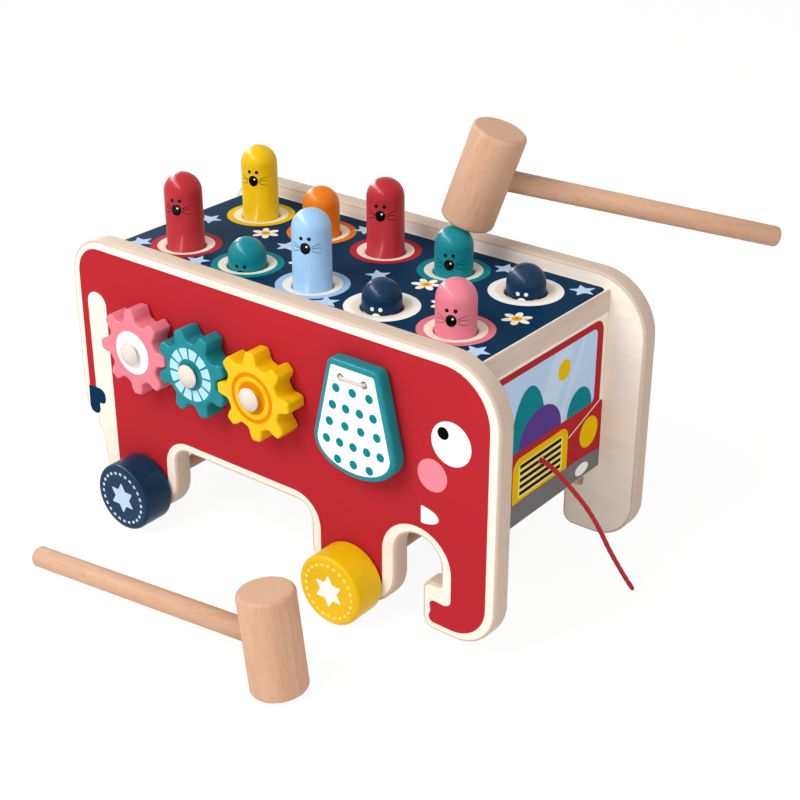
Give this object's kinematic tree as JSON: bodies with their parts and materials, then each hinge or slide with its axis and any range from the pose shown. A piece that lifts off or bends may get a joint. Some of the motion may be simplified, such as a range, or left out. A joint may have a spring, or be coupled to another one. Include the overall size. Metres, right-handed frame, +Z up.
{
  "type": "whack-a-mole toy",
  "caption": "Wooden pounding toy on wheels shaped like an elephant, with mole pegs in its top board, meshing gears, flapping ears, a pull cord and loose mallets.",
  "frame": {"origin": "on the floor, under the middle of the toy and its two mallets, without the pull cord", "axes": "+X to the elephant's front, where the cord leaves, -Y to the side with the gears, +Z up"},
  "size_m": [0.3368, 0.3718, 0.254],
  "materials": {
    "red_wood": "painted, satin",
    "navy_wood": "painted, satin",
    "yellow_wood": "painted, satin",
    "teal_wood": "painted, satin",
    "pink_wood": "painted, satin",
    "orange_wood": "painted, satin",
    "light_blue_wood": "painted, satin",
    "cream_wood": "painted, satin",
    "birch_wood": "bare, fine grain",
    "beech_wood": "bare, fine grain",
    "white_elastic": "braided elastic",
    "red_cord": "braided cord"
  },
  "bodies": {
    "toy_body": {"near_side_panel": "red_wood", "far_side_panel": "red_wood", "top_board": "navy_wood", "guide_board": "birch_wood", "front_end_board": "red_wood", "rear_end_board": "birch_wood", "rear_gear_pin": "cream_wood", "middle_gear_pin": "cream_wood", "front_gear_pin": "cream_wood", "cord_knot": "red_cord", "pull_cord": "red_cord"},
    "near_mole_1": {"near_peg_1": "red_wood"},
    "near_mole_2": {"near_peg_2": "teal_wood"},
    "near_mole_3": {"near_peg_3": "light_blue_wood"},
    "near_mole_4": {"near_peg_4": "navy_wood"},
    "near_mole_5": {"near_peg_5": "pink_wood"},
    "far_mole_1": {"far_peg_1": "yellow_wood"},
    "far_mole_2": {"far_peg_2": "orange_wood"},
    "far_mole_3": {"far_peg_3": "red_wood"},
    "far_mole_4": {"far_peg_4": "teal_wood"},
    "far_mole_5": {"far_peg_5": "navy_wood"},
    "middle_gear_wheel": {"middle_gear": "teal_wood"},
    "rear_gear_wheel": {"rear_gear": "pink_wood"},
    "front_gear_wheel": {"front_gear": "yellow_wood"},
    "front_wheelset": {"front_axle": "beech_wood", "front_near_wheel": "yellow_wood", "front_far_wheel": "yellow_wood"},
    "rear_wheelset": {"rear_axle": "beech_wood", "rear_near_wheel": "navy_wood", "rear_far_wheel": "navy_wood"},
    "near_ear_flap": {"near_ear": "teal_wood", "near_ear_elastic": "white_elastic"},
    "far_ear_flap": {"far_ear": "teal_wood", "far_ear_elastic": "white_elastic"},
    "first_mallet": {"first_mallet_head": "beech_wood", "first_mallet_handle": "beech_wood"},
    "second_mallet": {"second_mallet_head": "beech_wood", "second_mallet_handle": "beech_wood"}
  },
  "joints": [
    {"name": "near_mole_1_slide", "type": "slide", "parent": "toy_body", "child": "near_mole_1", "axis": [0, 0, 1], "range_m": [-0.0288, 0]},
    {"name": "near_mole_2_slide", "type": "slide", "parent": "toy_body", "child": "near_mole_2", "axis": [0, 0, 1], "range_m": [0, 0.0288]},
    {"name": "near_mole_3_slide", "type": "slide", "parent": "toy_body", "child": "near_mole_3", "axis": [0, 0, 1], "range_m": [-0.0288, 0]},
    {"name": "near_mole_4_slide", "type": "slide", "parent": "toy_body", "child": "near_mole_4", "axis": [0, 0, 1], "range_m": [0, 0.0288]},
    {"name": "near_mole_5_slide", "type": "slide", "parent": "toy_body", "child": "near_mole_5", "axis": [0, 0, 1], "range_m": [-0.0128, 0.016]},
    {"name": "far_mole_1_slide", "type": "slide", "parent": "toy_body", "child": "far_mole_1", "axis": [0, 0, 1], "range_m": [-0.0288, 0]},
    {"name": "far_mole_2_slide", "type": "slide", "parent": "toy_body", "child": "far_mole_2", "axis": [0, 0, 1], "range_m": [-0.0128, 0.016]},
    {"name": "far_mole_3_slide", "type": "slide", "parent": "toy_body", "child": "far_mole_3", "axis": [0, 0, 1], "range_m": [-0.0288, 0]},
    {"name": "far_mole_4_slide", "type": "slide", "parent": "toy_body", "child": "far_mole_4", "axis": [0, 0, 1], "range_m": [-0.0106, 0.0182]},
    {"name": "far_mole_5_slide", "type": "slide", "parent": "toy_body", "child": "far_mole_5", "axis": [0, 0, 1], "range_m": [0, 0.0288]},
    {"name": "middle_gear_turn", "type": "hinge", "parent": "toy_body", "child": "middle_gear_wheel", "pos_m": [-0.05515, -0.09311, 0.1199], "axis": [0, 1, 0], "continuous": true},
    {"name": "rear_gear_turn", "type": "hinge", "parent": "toy_body", "child": "rear_gear_wheel", "pos_m": [-0.10245, -0.09311, 0.1199], "axis": [0, 1, 0], "continuous": true},
    {"name": "front_gear_turn", "type": "hinge", "parent": "toy_body", "child": "front_gear_wheel", "pos_m": [-0.00785, -0.09311, 0.1199], "axis": [0, 1, 0], "continuous": true},
    {"name": "front_wheels_roll", "type": "hinge", "parent": "toy_body", "child": "front_wheelset", "pos_m": [0.05135, -0.00861, 0.0215], "axis": [0, 1, 0], "continuous": true},
    {"name": "rear_wheels_roll", "type": "hinge", "parent": "toy_body", "child": "rear_wheelset", "pos_m": [-0.11395, -0.00861, 0.0215], "axis": [0, 1, 0], "continuous": true},
    {"name": "near_ear_flap_hinge", "type": "hinge", "parent": "toy_body", "child": "near_ear_flap", "pos_m": [0.06035, -0.08631, 0.1584], "axis": [-1, 0, 0], "range_deg": [0, 60]},
    {"name": "far_ear_flap_hinge", "type": "hinge", "parent": "toy_body", "child": "far_ear_flap", "pos_m": [0.06035, 0.06909, 0.1584], "axis": [1, 0, 0], "range_deg": [0, 60]},
    {"name": "first_mallet_lift", "type": "slide", "parent": "toy_body", "child": "first_mallet", "axis": [0, 0, 1], "range_m": [0, 0.15]},
    {"name": "second_mallet_lift", "type": "slide", "parent": "far_mole_4", "child": "second_mallet", "axis": [0, 0, 1], "range_m": [0, 0.12]}
  ],
  "couplings": [
    {"joint": "rear_gear_turn", "follows": "middle_gear_turn", "ratio": -1},
    {"joint": "front_gear_turn", "follows": "middle_gear_turn", "ratio": -1}
  ]
}
